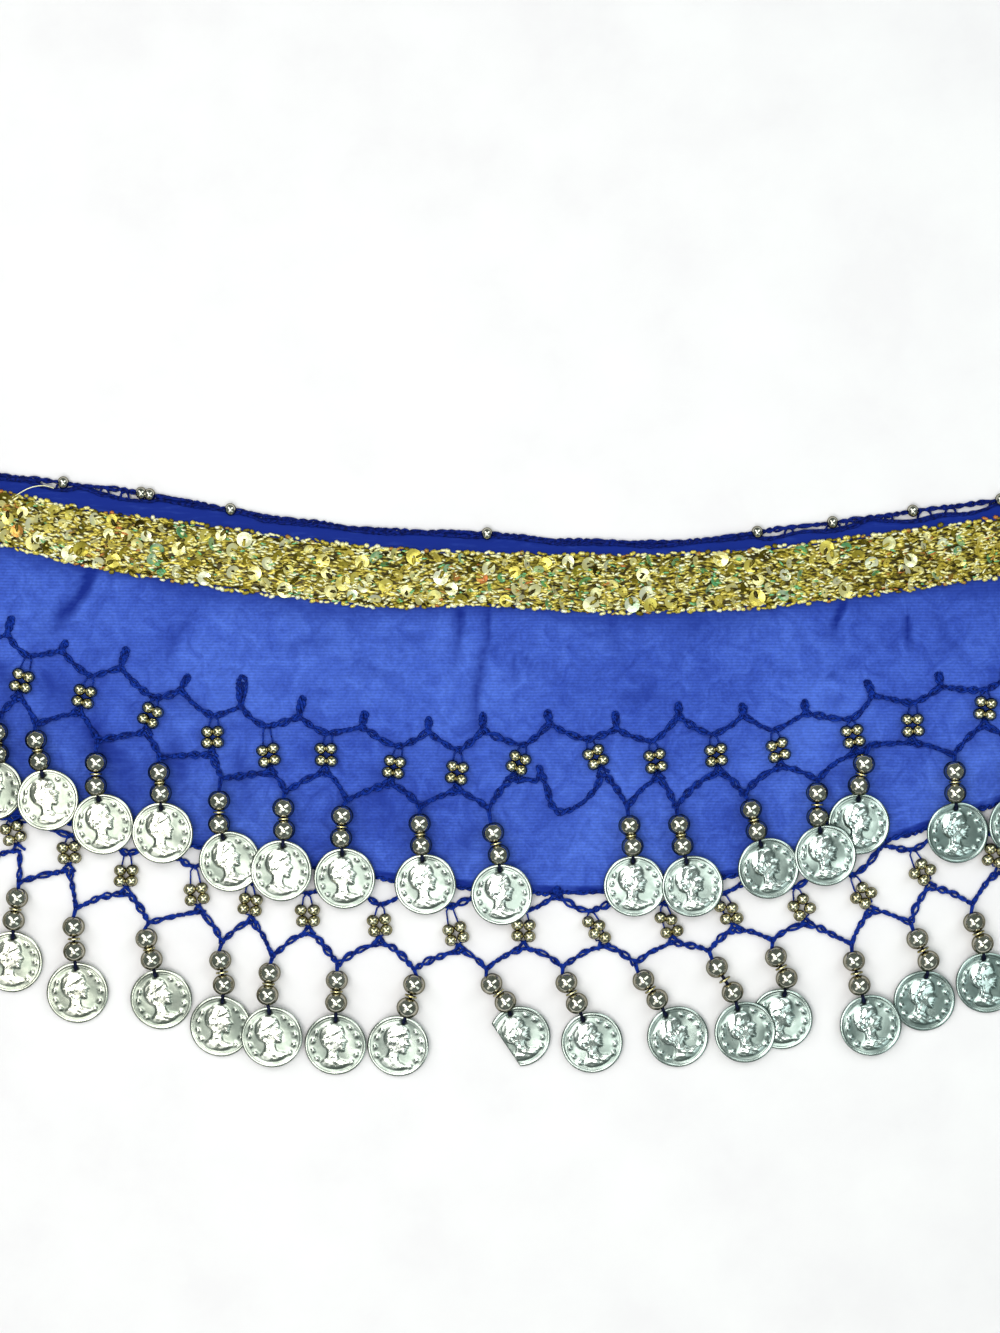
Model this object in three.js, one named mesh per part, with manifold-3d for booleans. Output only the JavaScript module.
// A coin hip scarf for a pet, laid out flat: a crescent of thin cloth with a sequin band under its
// waist edge and two rows of crocheted net, from which beads and coins hang.
// Millimetres. +X runs along the scarf to the wearer's left, +Y from hem to waist, +Z up off the
// surface. The origin is on the flat underside of the cloth, near the middle of the panel.

import * as THREE from 'three';
import { mergeVertices } from 'three/addons/utils/BufferGeometryUtils.js';
import Module from 'manifold-3d';

const wasm = await Module();
wasm.setup();

// ---- Driving dimensions ----------------------------------------------------------------------

const CLOTH = 1.0; // thickness of the cloth's wall
const GAP = 0.3; // between pieces that touch
const HEM_WIDTH = 2.4; // rolled hem along the lower edge
const HEM_RISE = 0.35; // how far a hem stands above the cloth
const HEM_STEP = 0.7; // over which it comes down to the cloth
const PANEL_COLUMNS = 92;
const PANEL_ROWS = 9; // between the two hems
const FOLD_WIDTH_MIN = 7; // a narrower fold is finer than the panel's grid

const BAND_THICKNESS = 1.3;
const BAND_COLUMNS = 62;
const BAND_SELVEDGE = 0.6; // thickness of the band's two edges, as a share of its middle's
const BAND_ENDS = [-292, 270]; // where the sequin band stops, short of the tie ends

const EDGING_WIDTH = 1.5;
const EDGING_HEIGHT = 1.1;
const EDGING_COLUMNS = 84;
const EDGING_WAVE = 0.35; // the chain's scallops
const EDGING_PITCH = 15;

const CHAIN_WIDTH = 1.7; // a crocheted chain
const CHAIN_HEIGHT = 1.1;
const CHAIN_SLANT = 1.15; // a chain that runs up or down is this much taller, measured upright
const PICOT = 4.6; // the loop on top of each upper peak
const LOWER_PICOT = 0.2; // the lower net's peaks end at the hem
const CLUSTER = 5.8; // four seed beads, two by two
const CLUSTER_RISE = 1.2; // above the chain
const NECK = 5.3; // from the middle of a cluster to the chain below it
const HANG_RISE = 1.0; // a chain rises towards the bead that hangs on it
const HANG_REACH = 3.5;

const BEAD_RADIUS = 3.0;
const BEAD_RING = 0.92; // radius of a bead's two rings, as a share of its radius
const BEAD_RING_AT = 0.46; // and how far they are from its middle
const THREAD_RADIUS = 0.6;
const BEAD_SIDES = 6;
const COIN_RADIUS = 8.9;
const COIN_THICKNESS = 0.8;
const COIN_SIDES = 12;
const COIN_TOP = 2.6; // height of the coin's upper edge, where the thread holds it
const REST = 0.1; // beads and coins lie this far above what carries them

// How the two nets go on past their charted cells, towards the tie ends.
const PITCH = 18;
const VALLEY_DEPTH = 6.4;
const CLUSTER_DROP = 6;
const HANG_DROP = 21.5;
const DROP_BEADS = [5.2, 11.6]; // from the chain to the two beads
const DROP_COIN = 23.4; // and to the middle of the coin
const LEAN = { left: -0.1, right: 0.12 }; // radians, how those drops lean outwards

/** Rows of numbers as objects with named columns. */
const table = (columns, rows) => rows.map(
  (row) => Object.fromEntries(row.map((value, i) => [columns[i], value])));

// Sections across the scarf, from tie end to tie end.
const SECTIONS = table(['x', 'waist', 'bandTop', 'bandLow', 'hem'], [
  [-325, 111, 106.5, 101, 98],
  [-308, 105.5, 100.5, 88, 67],
  [-290, 100, 94.8, 79.5, 42],
  [-264, 92.3, 87, 71, 15.5],
  [-232, 84, 78.8, 62.7, -6.5],
  [-200, 76.8, 71.6, 56, -19],
  [-168, 70.9, 66, 50.9, -26.6],
  [-140, 67.4, 60.4, 44, -31.8],
  [-112, 62.9, 56.7, 39.5, -36.8],
  [-84, 57.8, 52.6, 35.6, -41.6],
  [-56, 54.9, 49.6, 32.7, -46.3],
  [-28, 53.8, 48.1, 33.2, -49],
  [0, 51.7, 47.8, 31.4, -50.4],
  [28, 51.5, 47.9, 31.5, -47.9],
  [56, 54.8, 49.8, 33, -43.3],
  [84, 58.6, 53.2, 36.4, -36.7],
  [112, 62.2, 57, 40.2, -27.3],
  [140, 66.5, 61.5, 44.5, -17],
  [168, 72, 67, 50, -5],
  [196, 78.5, 73.4, 57, 9],
  [224, 86, 80.8, 64.8, 26],
  [252, 94.5, 89.3, 73.5, 47],
  [278, 103.3, 98, 86, 72],
  [300, 111, 106.5, 102, 98],
]);

// Soft folds in the cloth: a ridge from one end to the other.
const FOLDS = table(['x0', 'y0', 'x1', 'y1', 'width', 'height'], [
  [-139.8, 43, -147, 28, 6, 0.9],
  [-31, 33, -33, -8, 9, 0.8],
  [76.7, 33.6, 73.5, 25, 6, 0.6],
  [50, 20, 92, 22, 8, 0.4],
  [-165, 24, -160, 4, 8, 0.6],
  [-152, 12, -128, -22, 9, 0.5],
  [-252, 66, -236, 8, 11, 0.9],
  [-301, 88, -283, 52, 10, 0.9],
  [214, 72, 204, 18, 10, 0.8],
  [268, 90, 252, 56, 10, 0.9],
]);

// One cell of a net: the valley of its upper chain, the bead cluster below that valley, then the
// chain's next peak and, below it, the valley that a drop hangs on.
const CELL = ['valleyX', 'valleyY', 'clusterX', 'clusterY', 'peakX', 'peakY', 'hangX', 'hangY'];
const UPPER_CELLS = table(CELL, [
  [-175.5, 22.5, -178, 15.8, -165.5, 24.6, -167.7, 1],
  [-159.2, 18.5, -161.1, 11.3, -149.9, 20, -157, -1.2],
  [-141.2, 12.7, -143.2, 6.9, -132.8, 15, -139.2, -5.8],
  [-122.7, 6.4, -124.1, 1.4, -115.5, 8.7, -121.3, -10.7],
  [-105.6, 1.2, -106.1, -4.9, -98.1, 3.8, -103.6, -16.8],
  [-90.6, -1.7, -89.9, -10.1, -81.3, 0.9, -85.1, -20.8],
  [-72.6, -3.8, -73.3, -10, -63.1, -2, -67.3, -23.2],
  [-52.1, -7.5, -53.7, -13.6, -44, -3.2, -46, -24.9],
  [-35.3, -8.7, -35.5, -15.2, -28.1, -2.9, -26.5, -25.5],
  [-16.2, -7.2, -17.9, -12.3, -8.7, -1.2, -6.9, -26.9],
  [2.3, -5.5, 4.5, -10.6, 10.4, -2.6, 13.6, -25],
  [20.8, -6.1, 21.7, -11.8, 28.4, 1.2, 27.6, -25],
  [38.3, -4.1, 39.2, -10.1, 47.2, 1.4, 47.2, -21.4],
  [55.9, -2.9, 57.1, -8.6, 65.1, 2, 68.6, -17.1],
  [78.1, 0.3, 78.7, -4.6, 84.5, 7.2, 83.3, -7.2],
  [96.2, 4.9, 95.9, -1.4, 104.2, 9.6, 107.8, -10.1],
  [116.9, 8.7, 116.9, 3.4, 122.4, 11.6, 124.8, -7],
]);
const LOWER_CELLS = table(['valleyX', 'valleyY', 'clusterX', 'clusterY', 'hangX', 'hangY'], [
  [-165, -28.5, -163.8, -32.6, -162.1, -46.9],
  [-147.3, -33.4, -147.6, -38.2, -145.6, -54.4],
  [-130.8, -38.5, -131.1, -44.9, -124.6, -58.6],
  [-111.7, -42.5, -110.8, -50.2, -103.4, -64.2],
  [-95.5, -47.2, -95.3, -53.2, -88.8, -68.3],
  [-79, -50.2, -78.7, -56.4, -70.1, -70.5],
  [-57.7, -53.4, -57.9, -59.2, -48, -71.9],
  [-37.9, -54, -36, -61.6, -27, -71.8],
  [-16.2, -55.2, -16.3, -60.8, -5, -71.2],
  [2.7, -55.2, 4.9, -60.6, 15.9, -70.3],
  [24, -53.2, 25.6, -59.2, 37.2, -66.6],
  [41, -50.2, 43.1, -55.7, 55.6, -63.5],
  [62.2, -48.4, 63.9, -54, 78.4, -64.7],
  [78.7, -44.9, 81.8, -50.6, 95.4, -58.6],
  [95.8, -37.6, 98.9, -43.8, 113.3, -53.1],
  [117.8, -33, 119.8, -39.1, 131, -47.5],
]);
const MISSING_DROP = 9; // the charted upper cell whose coin has been lost

// The charted drops, in the order of their cells. lift raises a coin that lies over its neighbour.
const DROP = ['bead1X', 'bead1Y', 'bead2X', 'bead2Y', 'coinX', 'coinY', 'lift'];
const UPPER_DROPS = table(DROP, [
  [-167.9, -3.5, -167.6, -9.6, -169.6, -20, 0],
  [-156.7, -5.6, -155.7, -11.6, -153.4, -22.9, 1.6],
  [-139.4, -12.1, -139.4, -18.8, -137.6, -29.9, 0],
  [-121.3, -14.9, -120.8, -20.9, -120.4, -32.4, 1.3],
  [-104, -23.1, -104, -29.8, -101.1, -40.7, 0],
  [-85.5, -25.2, -85.3, -31.5, -86.2, -43.3, 1.3],
  [-68.6, -27.4, -68.9, -33.8, -68, -45.6, 0],
  [-46.3, -29.7, -45.9, -35.9, -44.7, -47.3, 0],
  [-25.1, -32.3, -23.5, -38.6, -22.7, -50.2, 1],
  [14.1, -30.2, 15, -36.2, 15.6, -47.8, 0],
  [28.4, -29.9, 29.4, -36, 32.3, -47.8, 1.3],
  [49.1, -25.6, 50.7, -31.7, 54.3, -42.7, 0],
  [68.1, -20.8, 68.2, -27.8, 70.6, -38.9, 1.4],
  [81.6, -12.5, 80.1, -18.7, 80.3, -29.9, 0],
  [107.7, -14.6, 107.9, -20.9, 108.8, -32.4, 0],
  [125.2, -12.2, 125.8, -18.6, 126.6, -30.2, 1],
]);
const LOWER_DROPS = table(DROP, [
  [-162.4, -51.2, -163.4, -57.7, -164.2, -69.8, 0],
  [-146.1, -59.5, -145.9, -66.6, -145.2, -78.7, 0],
  [-125.1, -62.9, -123.6, -69, -121, -80.6, 0],
  [-103.8, -69.2, -102.8, -76.2, -103.9, -88.4, 0],
  [-89.6, -72.8, -90.2, -79.2, -89, -91.4, 1.3],
  [-70.2, -75, -70.4, -81.4, -70.7, -93.7, 0],
  [-47.9, -76.2, -49.8, -82.9, -52.6, -94.1, 0],
  [-25.6, -76, -21.6, -81.2, -17.5, -91.3, 0],
  [-4, -75.6, -1, -81.6, 3.4, -93.1, 0],
  [18.2, -74.9, 22.2, -80.5, 28.2, -91.4, 0],
  [39.4, -71.2, 43.9, -78.4, 47.6, -90, 1.4],
  [56.4, -68.2, 59.5, -74.4, 58.2, -86.3, 0],
  [78.9, -69.4, 80.5, -76.4, 83.8, -88, 1.4],
  [97.2, -63, 100.4, -69.4, 99.4, -81, 0.2],
  [113.6, -58.2, 116, -64.4, 117.4, -75.8, 0],
  [131.6, -52.8, 133, -59, 135.4, -70.2, 0],
]);
const BENT_COIN = 7; // the charted lower drop whose coin is folded over
const BENT_COIN_TURN = 101; // degrees from its thread to the middle of the folded-off side
const BENT_COIN_CUT = 4.7; // from its middle to the fold

const BLUE_CLOTH = { color: 0x4a66cf, roughness: 0.85, metalness: 0 };
const BLUE_THREAD = { color: 0x1d2f93, roughness: 0.9, metalness: 0 };
const SEQUIN_GOLD = { color: 0xc9b04a, roughness: 0.3, metalness: 0.8 };
const COIN_SILVER = { color: 0xc4cfc8, roughness: 0.3, metalness: 1 };

// ---- Helpers ---------------------------------------------------------------------------------

const { lerp, clamp, smoothstep, degToRad } = THREE.MathUtils;

/** A column of the sections table at any x, on a smooth curve through its rows. */
function section(column, x) {
  let i = SECTIONS.findIndex((row) => row.x > x) - 1;
  i = i < 0 ? (x < 0 ? 0 : SECTIONS.length - 2) : i;
  const [before, a, b, after] = [i - 1, i, i + 1, i + 2].map(
    (k) => SECTIONS[clamp(k, 0, SECTIONS.length - 1)]);
  const span = b.x - a.x;
  const slopeA = (b[column] - before[column]) / (b.x - before.x) * span;
  const slopeB = (after[column] - a[column]) / (after.x - a.x) * span;
  const t = (x - a.x) / span;
  return (2 * t ** 3 - 3 * t ** 2 + 1) * a[column] + (t ** 3 - 2 * t ** 2 + t) * slopeA
    + (3 * t ** 2 - 2 * t ** 3) * b[column] + (t ** 3 - t ** 2) * slopeB;
}

const FOLD_FADE = { underBand: 8, overHem: 12 }; // a fold grows from nothing over these distances

/** How far the folds lift the cloth at a point. */
function foldHeight(x, y) {
  let height = 0;
  for (const fold of FOLDS) {
    const along = new THREE.Vector2(fold.x1 - fold.x0, fold.y1 - fold.y0);
    const from = new THREE.Vector2(x - fold.x0, y - fold.y0);
    const t = from.dot(along) / along.lengthSq();
    const off = from.sub(along.multiplyScalar(clamp(t, 0, 1))).length();
    const width = Math.max(fold.width, FOLD_WIDTH_MIN);
    height += fold.height * Math.exp(-((off * 2 / width) ** 2));
  }
  const belowBand = section('bandLow', x) - y;
  const aboveHem = y - section('hem', x);
  return height * smoothstep(belowBand, GAP, FOLD_FADE.underBand)
    * smoothstep(aboveHem, HEM_WIDTH, FOLD_FADE.overHem);
}

/** The cloth's upper face at a point, with its folds and without its hems. */
const clothTop = (x, y) => CLOTH + foldHeight(x, y);

/** The highest that the cloth stands under a disc, hems included, or the surface beside it. */
function carrier(middle, radius) {
  let height = 0;
  for (let turn = 0; turn < 2 * Math.PI; turn += Math.PI / 4) {
    for (const reach of [0, radius / 2, radius]) {
      const x = middle.x + reach * Math.cos(turn);
      const y = middle.y + reach * Math.sin(turn);
      if (y > section('hem', x) - GAP) {
        height = Math.max(height, clothTop(x, y) + HEM_RISE);
      }
    }
  }
  return height;
}

/** A geometry from its points and its triangles. */
function geometryOf(points, faces) {
  const geometry = new THREE.BufferGeometry();
  geometry.setAttribute('position', new THREE.Float32BufferAttribute(points.flat(), 3));
  geometry.setIndex(faces.flat());
  return geometry;
}

function meshOf(name, geometry, finish) {
  const mesh = new THREE.Mesh(geometry, new THREE.MeshStandardMaterial(finish));
  mesh.name = name;
  return mesh;
}

/** A closed strip through columns, each a list of upper points, with its flat bottom at low. */
function strip(columns, low) {
  const top = columns[0].length;
  const size = top + 2;
  const points = columns.flatMap((column) => [
    ...column, [column[0][0], column[0][1], low], [column[top - 1][0], column[top - 1][1], low]]);
  const faces = [];
  for (let i = 0; i + 1 < columns.length; i++) {
    const [a, b] = [i * size, (i + 1) * size];
    for (let j = 0; j + 1 < top; j++) {
      faces.push([a + j, b + j, b + j + 1], [a + j, b + j + 1, a + j + 1]);
    }
    const ends = [[top - 1, top + 1], [top + 1, top], [top, 0]];
    for (const [j, k] of ends) {
      faces.push([a + j, b + j, b + k], [a + j, b + k, a + k]);
    }
  }
  const last = (columns.length - 1) * size;
  for (let j = 0; j + 1 < top; j++) {
    faces.push([top, j, j + 1], [last + top, last + j + 1, last + j]);
  }
  faces.push([top, top - 1, top + 1], [last + top, last + top + 1, last + top - 1]);
  return geometryOf(points, faces);
}

/** Values from one end of a range to the other, both included. */
const steps = (from, to, count) => Array.from(
  { length: count + 1 }, (_, i) => lerp(from, to, i / count));

// ---- Cloth, band and edging ------------------------------------------------------------------

function panel() {
  const ends = [SECTIONS[0].x, SECTIONS[SECTIONS.length - 1].x];
  const columns = steps(...ends, PANEL_COLUMNS).map((x) => {
    const [hem, waist] = [section('hem', x), section('waist', x)];
    const fold = section('bandTop', x) + GAP;
    const inner = [hem + HEM_WIDTH + HEM_STEP, fold];
    return [
      [x, hem, CLOTH],
      [x, hem + HEM_WIDTH, CLOTH + HEM_RISE],
      ...steps(...inner, PANEL_ROWS).map((y) => [x, y, clothTop(x, y)]),
      [x, fold + HEM_STEP, CLOTH + HEM_RISE],
      [x, waist, CLOTH],
    ];
  });
  return meshOf('chiffon_panel', strip(columns, 0), BLUE_CLOTH);
}

function sequinBand() {
  const low = CLOTH + GAP;
  const columns = steps(...BAND_ENDS, BAND_COLUMNS).map((x) => {
    const [bottom, top] = [section('bandLow', x), section('bandTop', x)];
    return [
      [x, bottom, low + BAND_THICKNESS * BAND_SELVEDGE],
      [x, (bottom + top) / 2, low + BAND_THICKNESS],
      [x, top, low + BAND_THICKNESS * BAND_SELVEDGE],
    ];
  });
  return meshOf('sequin_band', strip(columns, low), SEQUIN_GOLD);
}

function waistEdging() {
  const ends = [SECTIONS[0].x, SECTIONS[SECTIONS.length - 1].x];
  const columns = steps(...ends, EDGING_COLUMNS).map((x) => {
    const low = section('waist', x) + GAP;
    const high = low + EDGING_WIDTH + EDGING_WAVE * Math.cos(2 * Math.PI * x / EDGING_PITCH);
    return [[x, low, EDGING_HEIGHT], [x, high, EDGING_HEIGHT]];
  });
  return meshOf('waist_edging', strip(columns, 0), BLUE_THREAD);
}

// ---- Nets ------------------------------------------------------------------------------------

/** More cells after the last charted one, or before the first, at a steady pitch along the hem. */
function continued(cells, count, side, above) {
  const end = side > 0 ? cells[cells.length - 1] : cells[0];
  const more = [];
  for (let k = 1; k <= count; k++) {
    const [valleyX, peakX] = [end.valleyX + side * k * PITCH, end.peakX + side * k * PITCH];
    const rise = above ?? 0;
    const peakY = section('hem', peakX) + rise;
    const valleyY = section('hem', valleyX) + rise - VALLEY_DEPTH;
    const hangX = peakX + (end.hangX - end.peakX);
    more.push({
      valleyX, valleyY, peakX, peakY, hangX,
      clusterX: valleyX, clusterY: valleyY - CLUSTER_DROP,
      hangY: section('hem', hangX) + rise - HANG_DROP,
    });
  }
  return side > 0 ? [...cells, ...more] : [...more.reverse(), ...cells];
}

/** The lower net's peaks are where it is sewn to the hem, midway between its valleys. */
function withHemPeaks(cells) {
  return cells.map((cell, i) => {
    const next = cells[i + 1]?.valleyX ?? cell.valleyX + PITCH;
    const peakX = (cell.valleyX + next) / 2;
    const peakY = section('hem', peakX) - 2 * GAP - CHAIN_WIDTH / 2 * CHAIN_SLANT - LOWER_PICOT;
    return { ...cell, peakX, peakY };
  });
}

/** A cell's cluster as a square turned to face its valley, with the chain's peak below it. */
function clusterOf(cell) {
  const middle = new THREE.Vector2(cell.clusterX, cell.clusterY);
  const valley = new THREE.Vector2(cell.valleyX, cell.valleyY);
  const down = middle.clone().sub(valley).normalize();
  const right = new THREE.Vector2(-down.y, down.x);
  const at = (across, along) => middle.clone()
    .addScaledVector(right, across).addScaledVector(down, along).toArray();
  const [half, chain] = [CLUSTER / 2, CHAIN_WIDTH / 2];
  const depth = valley.distanceTo(middle);
  const side = (hand) => [
    at(hand * chain, chain - depth), at(hand * half, -half), at(hand * half, half),
    at(hand * chain, NECK - 0.2)];
  return { left: side(-1), right: side(1), foot: at(0, NECK) };
}

/** The net's outline and its open cells, as one flat shape. */
function netShape(cells, picot) {
  const upright = CHAIN_WIDTH / 2 * CHAIN_SLANT;
  const half = CHAIN_WIDTH / 2;
  const clusters = cells.map(clusterOf);
  const [first, last] = [cells[0], cells[cells.length - 1]];
  const startX = first.valleyX - PITCH / 2;
  const startY = first.valleyY + VALLEY_DEPTH * 0.6;
  const top = [[startX - half, startY - upright], [startX, startY + upright]];
  for (const cell of cells) {
    top.push([cell.valleyX, cell.valleyY + upright]);
    top.push([cell.peakX - half, cell.peakY + upright * 0.6]);
    top.push([cell.peakX - half * 0.5, cell.peakY + upright + picot]);
    top.push([cell.peakX + half * 0.5, cell.peakY + upright + picot]);
    top.push([cell.peakX + half, cell.peakY + upright * 0.6]);
  }
  const bottom = clusters.flatMap((cluster, i) => {
    const foot = [cluster.foot[0], cluster.foot[1] - upright];
    const cell = cells[i];
    const hang = [-half, half].map((side) => [cell.hangX + side, cell.hangY - upright]);
    return cell === last ? [foot] : [foot, ...hang];
  });
  const outline = [
    ...top, [last.peakX, last.peakY - upright],
    ...clusters[clusters.length - 1].right, ...bottom.reverse(),
    ...clusters[0].left.slice().reverse(),
  ];
  const shape = new THREE.Shape(outline.map(([x, y]) => new THREE.Vector2(x, y)));
  for (let i = 0; i + 1 < cells.length; i++) {
    const hole = [
      ...clusters[i].right, [cells[i].hangX, cells[i].hangY + upright],
      ...clusters[i + 1].left.slice().reverse(), [cells[i].peakX, cells[i].peakY - upright]];
    shape.holes.push(new THREE.Path(hole.map(([x, y]) => new THREE.Vector2(x, y))));
  }
  return shape;
}

/** 1 at a point, falling to 0 at reach from it. */
const near = (x, y, px, py, reach) => 1 - smoothstep(Math.hypot(x - px, y - py), reach * 0.6, reach);

/** The flat net laid on what carries it, raised at its clusters and where it meets a bead. */
function net(name, cells, picot, base) {
  const geometry = new THREE.ExtrudeGeometry(
    netShape(cells, picot), { depth: CHAIN_HEIGHT, bevelEnabled: false, steps: 1 });
  const position = geometry.getAttribute('position');
  for (let i = 0; i < position.count; i++) {
    const [x, y, z] = [position.getX(i), position.getY(i), position.getZ(i)];
    let rise = 0;
    for (const cell of cells) {
      rise += HANG_RISE * near(x, y, cell.hangX, cell.hangY, HANG_REACH);
      if (z > CHAIN_HEIGHT / 2) {
        rise += CLUSTER_RISE * near(x, y, cell.clusterX, cell.clusterY, CLUSTER);
      }
    }
    position.setZ(i, z + rise + base(x, y));
  }
  return meshOf(name, merged(geometry), BLUE_THREAD);
}

// ---- Drops -----------------------------------------------------------------------------------

/** A geometry with its shared corners merged, as a closed mesh needs. */
function merged(geometry) {
  geometry.deleteAttribute('normal');
  geometry.deleteAttribute('uv');
  return mergeVertices(geometry, 1e-4);
}

function solidOf(geometry) {
  const closed = merged(geometry);
  return new wasm.Manifold(new wasm.Mesh({
    numProp: 3,
    vertProperties: Float32Array.from(closed.getAttribute('position').array),
    triVerts: Uint32Array.from(closed.index.array),
  }));
}

function geometryFrom(solid) {
  const { vertProperties, triVerts } = solid.getMesh();
  const geometry = new THREE.BufferGeometry();
  geometry.setAttribute('position', new THREE.BufferAttribute(vertProperties, 3));
  geometry.setIndex(new THREE.BufferAttribute(triVerts, 1));
  return geometry;
}

/** Two beads on their thread, turned about local Y; apart is from bead to bead. */
function beadString(apart, lead, tail) {
  const ring = BEAD_RADIUS * BEAD_RING;
  const at = BEAD_RADIUS * BEAD_RING_AT;
  const end = BEAD_RADIUS * 0.97;
  const bead = (y) => [
    [THREAD_RADIUS, y - end], [ring, y - at], [ring, y + at], [THREAD_RADIUS, y + end]];
  const profile = [
    [0, -lead], [THREAD_RADIUS, -lead], ...bead(0), ...bead(apart),
    [THREAD_RADIUS, apart + tail], [0, apart + tail]];
  return new THREE.LatheGeometry(
    profile.map(([r, y]) => new THREE.Vector2(r, y)), BEAD_SIDES);
}

/** A coin with its middle at the origin and its thread hole towards -Y, whole or folded over. */
function coinBlank(bent) {
  const shape = new THREE.Shape();
  const fold = degToRad(BENT_COIN_TURN) - Math.PI / 2;
  for (let k = 0; k < COIN_SIDES; k++) {
    const turn = 2 * Math.PI * (k + 0.5) / COIN_SIDES;
    const point = new THREE.Vector2(COIN_RADIUS * Math.cos(turn), COIN_RADIUS * Math.sin(turn));
    if (bent) {
      const beyond = point.x * Math.cos(fold) + point.y * Math.sin(fold) - BENT_COIN_CUT;
      point.x -= Math.max(beyond, 0) * Math.cos(fold);
      point.y -= Math.max(beyond, 0) * Math.sin(fold);
    }
    if (k === 0) {
      shape.moveTo(point.x, point.y);
    } else {
      shape.lineTo(point.x, point.y);
    }
  }
  const depth = COIN_THICKNESS;
  return new THREE.ExtrudeGeometry(shape, { depth, bevelEnabled: false }).translate(0, 0, -depth / 2);
}

/** One drop: bead, bead, coin. The thread's upper end stops just short of the chain. */
function drop(name, cell, place, bent) {
  const bead1 = new THREE.Vector2(place.bead1X, place.bead1Y);
  const bead2 = new THREE.Vector2(place.bead2X, place.bead2Y);
  const coin = new THREE.Vector2(place.coinX, place.coinY);
  const cloth = Math.max(
    carrier(bead1, BEAD_RADIUS), carrier(bead2, BEAD_RADIUS), carrier(coin, COIN_RADIUS));
  const floor = REST + (cloth > 0 ? cloth + GAP : 0);
  const hang = new THREE.Vector2(cell.hangX, cell.hangY);
  const lead = hang.distanceTo(bead1) - CHAIN_WIDTH / 2 - 2 * GAP;
  const tail = BEAD_RADIUS + 1.6;
  const along = bead2.clone().sub(bead1);
  const string = beadString(bead1.distanceTo(bead2), lead, tail);
  string.rotateZ(along.angle() - Math.PI / 2);
  string.translate(bead1.x, bead1.y, floor + BEAD_RADIUS);
  const low = place.lift;
  const high = COIN_TOP + place.lift / 2;
  const tilt = Math.asin((high - low - COIN_THICKNESS / 2) / (2 * COIN_RADIUS));
  const disc = coinBlank(bent);
  disc.rotateX(-tilt);
  disc.rotateZ(coin.clone().sub(bead2).angle() - Math.PI / 2);
  disc.translate(coin.x, coin.y, floor + low + COIN_THICKNESS / 2 + COIN_RADIUS * Math.sin(tilt));
  return meshOf(name, geometryFrom(solidOf(string).add(solidOf(disc))), COIN_SILVER);
}

/** Beads and coin for a cell past the charted ones, hanging straight down. */
function plainPlace(cell, lean) {
  const at = (distance) => [
    cell.hangX + distance * Math.sin(lean), cell.hangY - distance * Math.cos(lean)];
  const [[bead1X, bead1Y], [bead2X, bead2Y], [coinX, coinY]] = [...DROP_BEADS, DROP_COIN].map(at);
  return { bead1X, bead1Y, bead2X, bead2Y, coinX, coinY, lift: 0 };
}

/** The drops of one net: the charted places, and plain ones on the cells before and after. */
function drops(name, cells, places, before, charted) {
  const group = new THREE.Group();
  let next = 0;
  cells.slice(0, -1).forEach((cell, i) => {
    const at = i - before;
    if (name === 'upper_drop' && at === MISSING_DROP) {
      return;
    }
    const isCharted = at >= 0 && at < charted;
    const place = isCharted ? places[next++] : plainPlace(cell, at < 0 ? LEAN.left : LEAN.right);
    const number = String(i + 1).padStart(2, '0');
    const bent = name === 'lower_drop' && at === BENT_COIN;
    group.add(drop(`${name}_${number}`, cell, place, bent));
  });
  return group;
}

// ---- The scarf -------------------------------------------------------------------------------

const UPPER_MORE = { before: 3, after: 4, aboveLeft: 50, aboveRight: 38 };
const LOWER_MORE = { before: 4, after: 5 };

let upperCells = continued(UPPER_CELLS, UPPER_MORE.before, -1, UPPER_MORE.aboveLeft);
upperCells = continued(upperCells, UPPER_MORE.after, 1, UPPER_MORE.aboveRight);
let lowerCells = continued(withHemPeaks(LOWER_CELLS), LOWER_MORE.before, -1);
lowerCells = withHemPeaks(continued(lowerCells, LOWER_MORE.after, 1));

const scarf = new THREE.Group();
scarf.add(panel(), sequinBand(), waistEdging());
scarf.add(net('upper_net', upperCells, PICOT, (x, y) => clothTop(x, y) + GAP));
scarf.add(net('lower_net', lowerCells, LOWER_PICOT, () => 0));
scarf.add(drops('upper_drop', upperCells, UPPER_DROPS, UPPER_MORE.before, UPPER_CELLS.length));
scarf.add(drops('lower_drop', lowerCells, LOWER_DROPS, LOWER_MORE.before, LOWER_CELLS.length));

export default scarf;
